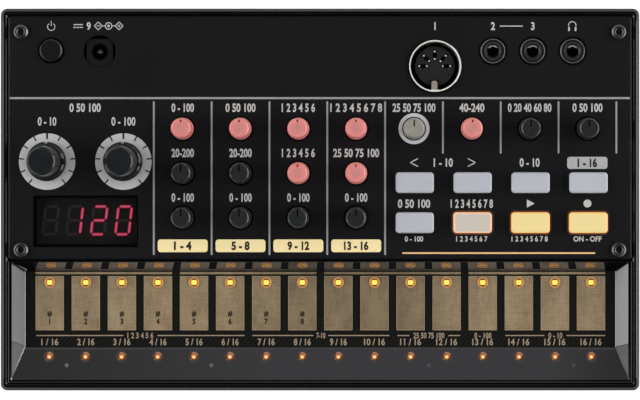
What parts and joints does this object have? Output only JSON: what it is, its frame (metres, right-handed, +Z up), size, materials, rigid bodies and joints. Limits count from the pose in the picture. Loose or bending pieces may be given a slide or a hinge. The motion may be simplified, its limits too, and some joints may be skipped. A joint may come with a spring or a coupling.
{
  "type": "drum machine",
  "caption": "Flat black table-top drum machine with small coloured knobs, two dials, a red digit display, push buttons, lit touch pads in a glossy recess and sockets along the rear.",
  "frame": {"origin": "on the ground under the middle of the case: the middle of the bounding box's bottom face", "axes": "+X to the right along the keyboard, +Y to the rear where the sockets are, +Z up out of the control panel"},
  "size_m": [0.1934, 0.1156, 0.046],
  "materials": {
    "case_plastic": "satin",
    "panel_black": "satin",
    "gloss_black": "polished",
    "gloss_grey": "polished",
    "foot_rubber": "matte",
    "bright_steel": "polished",
    "dark_steel": "satin",
    "knob_black": "satin",
    "knob_coral": "satin",
    "knob_grey": "satin",
    "button_pale": "satin",
    "button_peach": "satin",
    "button_lit": "satin",
    "button_black": "satin",
    "board_black": "satin",
    "pad_gold": "satin",
    "lamp_amber": "polished",
    "socket_black": "satin",
    "contact_metal": "polished",
    "ring_metal": "polished",
    "window_smoke": "polished",
    "display_body": "matte",
    "display_pink": "polished",
    "board_green": "satin",
    "part_grey": "matte",
    "frame_grey": "satin",
    "cone_paper": "matte",
    "cell_wrap": "polished",
    "cable_film": "satin"
  },
  "bodies": {
    "case": {"bottom_case": "case_plastic", "top_case": "case_plastic", "control_panel": "panel_black", "keyboard_surround": "gloss_black", "end_cheeks": "gloss_grey", "rubber_feet": "foot_rubber", "panel_screws": "bright_steel", "case_screws": "dark_steel", "touch_board": "board_black", "touch_pads": "pad_gold", "pad_leds": "lamp_amber", "front_leds": "lamp_amber", "socket_housings": "socket_black", "socket_contacts": "contact_metal", "din_shell": "ring_metal", "din_insert": "socket_black", "jack_bushes": "socket_black", "display_window": "window_smoke", "display_module": "display_body", "display_segments": "display_pink", "circuit_boards": "board_green", "board_chips": "part_grey", "potentiometers": "part_grey", "dial_nuts": "bright_steel", "switches": "part_grey", "speaker_frame": "frame_grey", "speaker_cone": "cone_paper", "battery_cells": "cell_wrap", "battery_contacts": "contact_metal", "ribbon_cables": "cable_film"},
    "cover": {"battery_cover": "case_plastic"},
    "left_dial": {"left_dial_knob": "knob_black", "left_dial_shaft": "bright_steel"},
    "right_dial": {"right_dial_knob": "knob_black", "right_dial_shaft": "bright_steel"},
    "kick_click": {"kick_click_knob": "knob_coral"},
    "kick_pitch": {"kick_pitch_knob": "knob_black"},
    "kick_decay": {"kick_decay_knob": "knob_black"},
    "snare_snap": {"snare_snap_knob": "knob_coral"},
    "snare_pitch": {"snare_pitch_knob": "knob_black"},
    "snare_decay": {"snare_decay_knob": "knob_black"},
    "tom_high": {"tom_high_knob": "knob_coral"},
    "tom_low": {"tom_low_knob": "knob_coral"},
    "tom_decay": {"tom_decay_knob": "knob_black"},
    "hat_closed": {"hat_closed_knob": "knob_coral"},
    "hat_open": {"hat_open_knob": "knob_coral"},
    "hat_grain": {"hat_grain_knob": "knob_black"},
    "sample_speed": {"sample_speed_knob": "knob_grey"},
    "tempo": {"tempo_knob": "knob_coral"},
    "part_level": {"part_level_knob": "knob_black"},
    "volume": {"volume_knob": "knob_black"},
    "part_back_key": {"part_back_button": "button_pale"},
    "part_next_key": {"part_next_button": "button_pale"},
    "mute_key": {"mute_button": "button_pale"},
    "function_key": {"function_button": "button_pale"},
    "memory_key": {"memory_button": "button_pale"},
    "step_mode_key": {"step_mode_button": "button_peach"},
    "play_key": {"play_button": "button_lit"},
    "record_key": {"record_button": "button_lit"},
    "power_key": {"power_button": "button_black"}
  },
  "joints": [
    {"name": "left_dial_turn", "type": "hinge", "parent": "case", "child": "left_dial", "pos_m": [-0.0826, 0.0115, 0.032], "axis": [0, 0, 1], "range_deg": [-140, 140]},
    {"name": "right_dial_turn", "type": "hinge", "parent": "case", "child": "right_dial", "pos_m": [-0.0595, 0.0115, 0.032], "axis": [0, 0, 1], "range_deg": [-140, 140]},
    {"name": "kick_click_turn", "type": "hinge", "parent": "case", "child": "kick_click", "pos_m": [-0.04155, 0.02145, 0.032], "axis": [0, 0, 1], "range_deg": [-140, 140]},
    {"name": "kick_pitch_turn", "type": "hinge", "parent": "case", "child": "kick_pitch", "pos_m": [-0.04155, 0.008, 0.032], "axis": [0, 0, 1], "range_deg": [-140, 140]},
    {"name": "kick_decay_turn", "type": "hinge", "parent": "case", "child": "kick_decay", "pos_m": [-0.04155, -0.00545, 0.032], "axis": [0, 0, 1], "range_deg": [-140, 140]},
    {"name": "snare_snap_turn", "type": "hinge", "parent": "case", "child": "snare_snap", "pos_m": [-0.02405, 0.02145, 0.032], "axis": [0, 0, 1], "range_deg": [-140, 140]},
    {"name": "snare_pitch_turn", "type": "hinge", "parent": "case", "child": "snare_pitch", "pos_m": [-0.02405, 0.008, 0.032], "axis": [0, 0, 1], "range_deg": [-140, 140]},
    {"name": "snare_decay_turn", "type": "hinge", "parent": "case", "child": "snare_decay", "pos_m": [-0.02405, -0.00545, 0.032], "axis": [0, 0, 1], "range_deg": [-140, 140]},
    {"name": "tom_high_turn", "type": "hinge", "parent": "case", "child": "tom_high", "pos_m": [-0.00655, 0.02145, 0.032], "axis": [0, 0, 1], "range_deg": [-140, 140]},
    {"name": "tom_low_turn", "type": "hinge", "parent": "case", "child": "tom_low", "pos_m": [-0.00655, 0.008, 0.032], "axis": [0, 0, 1], "range_deg": [-140, 140]},
    {"name": "tom_decay_turn", "type": "hinge", "parent": "case", "child": "tom_decay", "pos_m": [-0.00655, -0.00545, 0.032], "axis": [0, 0, 1], "range_deg": [-140, 140]},
    {"name": "hat_closed_turn", "type": "hinge", "parent": "case", "child": "hat_closed", "pos_m": [0.01095, 0.02145, 0.032], "axis": [0, 0, 1], "range_deg": [-140, 140]},
    {"name": "hat_open_turn", "type": "hinge", "parent": "case", "child": "hat_open", "pos_m": [0.01095, 0.008, 0.032], "axis": [0, 0, 1], "range_deg": [-140, 140]},
    {"name": "hat_grain_turn", "type": "hinge", "parent": "case", "child": "hat_grain", "pos_m": [0.01095, -0.00545, 0.032], "axis": [0, 0, 1], "range_deg": [-140, 140]},
    {"name": "sample_speed_turn", "type": "hinge", "parent": "case", "child": "sample_speed", "pos_m": [0.02845, 0.02145, 0.032], "axis": [0, 0, 1], "range_deg": [-140, 140]},
    {"name": "tempo_turn", "type": "hinge", "parent": "case", "child": "tempo", "pos_m": [0.04595, 0.02145, 0.032], "axis": [0, 0, 1], "range_deg": [-140, 140]},
    {"name": "part_level_turn", "type": "hinge", "parent": "case", "child": "part_level", "pos_m": [0.06345, 0.02145, 0.032], "axis": [0, 0, 1], "range_deg": [-140, 140]},
    {"name": "volume_turn", "type": "hinge", "parent": "case", "child": "volume", "pos_m": [0.08095, 0.02145, 0.032], "axis": [0, 0, 1], "range_deg": [-140, 140]},
    {"name": "part_back_key_press", "type": "slide", "parent": "case", "child": "part_back_key", "axis": [0, 0, -1], "range_m": [0, 0.0006], "stiffness_N_per_m": 1500, "springref_m": -0.0002},
    {"name": "part_next_key_press", "type": "slide", "parent": "case", "child": "part_next_key", "axis": [0, 0, -1], "range_m": [0, 0.0006], "stiffness_N_per_m": 1500, "springref_m": -0.0002},
    {"name": "mute_key_press", "type": "slide", "parent": "case", "child": "mute_key", "axis": [0, 0, -1], "range_m": [0, 0.0006], "stiffness_N_per_m": 1500, "springref_m": -0.0002},
    {"name": "function_key_press", "type": "slide", "parent": "case", "child": "function_key", "axis": [0, 0, -1], "range_m": [0, 0.0006], "stiffness_N_per_m": 1500, "springref_m": -0.0002},
    {"name": "memory_key_press", "type": "slide", "parent": "case", "child": "memory_key", "axis": [0, 0, -1], "range_m": [0, 0.0006], "stiffness_N_per_m": 1500, "springref_m": -0.0002},
    {"name": "step_mode_key_press", "type": "slide", "parent": "case", "child": "step_mode_key", "axis": [0, 0, -1], "range_m": [0, 0.0006], "stiffness_N_per_m": 1500, "springref_m": -0.0002},
    {"name": "play_key_press", "type": "slide", "parent": "case", "child": "play_key", "axis": [0, 0, -1], "range_m": [0, 0.0006], "stiffness_N_per_m": 1500, "springref_m": -0.0002},
    {"name": "record_key_press", "type": "slide", "parent": "case", "child": "record_key", "axis": [0, 0, -1], "range_m": [0, 0.0006], "stiffness_N_per_m": 1500, "springref_m": -0.0002},
    {"name": "power_key_press", "type": "slide", "parent": "case", "child": "power_key", "axis": [0, 0, -1], "range_m": [0, 0.0008], "stiffness_N_per_m": 1500, "springref_m": -0.0002},
    {"name": "cover_slide", "type": "slide", "parent": "case", "child": "cover", "axis": [0, -1, 0], "range_m": [0, 0.045]}
  ]
}
